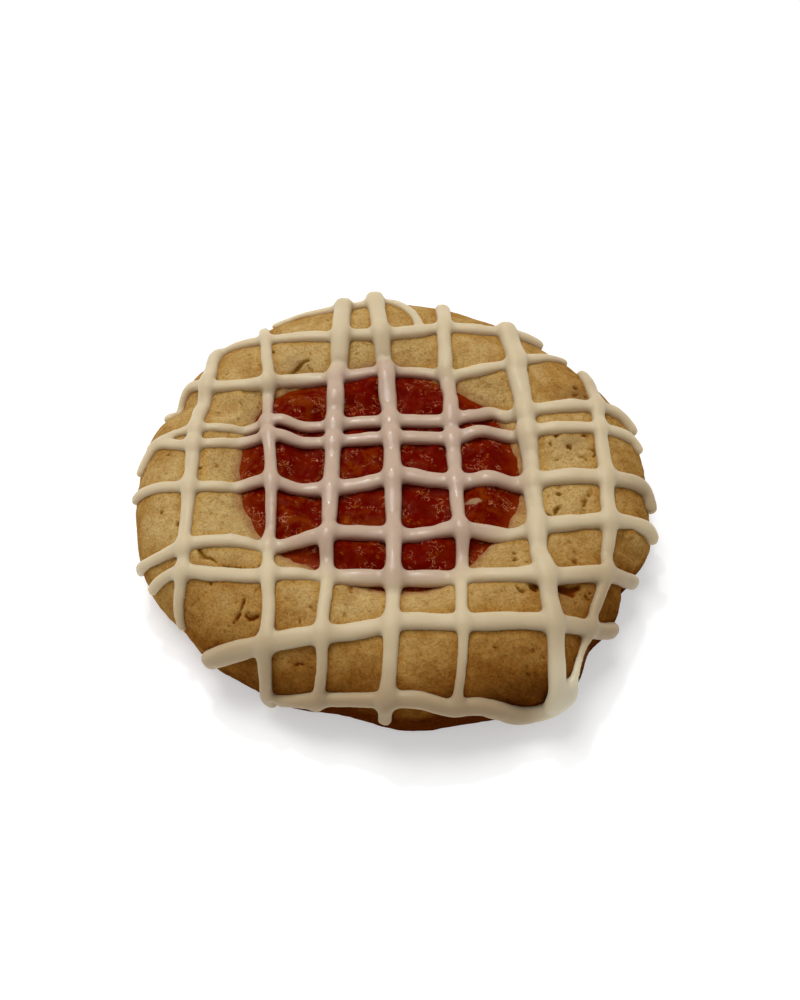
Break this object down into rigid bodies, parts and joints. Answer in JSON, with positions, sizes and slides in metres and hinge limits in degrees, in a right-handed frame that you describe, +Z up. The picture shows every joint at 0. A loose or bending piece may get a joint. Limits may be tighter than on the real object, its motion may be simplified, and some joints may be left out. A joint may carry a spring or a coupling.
{
  "type": "linzer cookie",
  "caption": "Round thick short-dough cookie with a pressed well of fruit jam and a lattice of piped icing over the whole top.",
  "frame": {"origin": "on the resting plane, under the middle of the bounding box", "axes": "+Z up out of the iced face; the front, where the icing turns round at the rim, faces -Y; +X is to the right seen from the front"},
  "size_m": [0.0802, 0.0812, 0.0159],
  "materials": {
    "biscuit": "baked short dough, matt and sandy",
    "icing": "set cream icing, satin",
    "jam": "set fruit jam, glossy"
  },
  "bodies": {
    "root": {"cookie": "biscuit", "jam": "jam"}
  },
  "joints": []
}
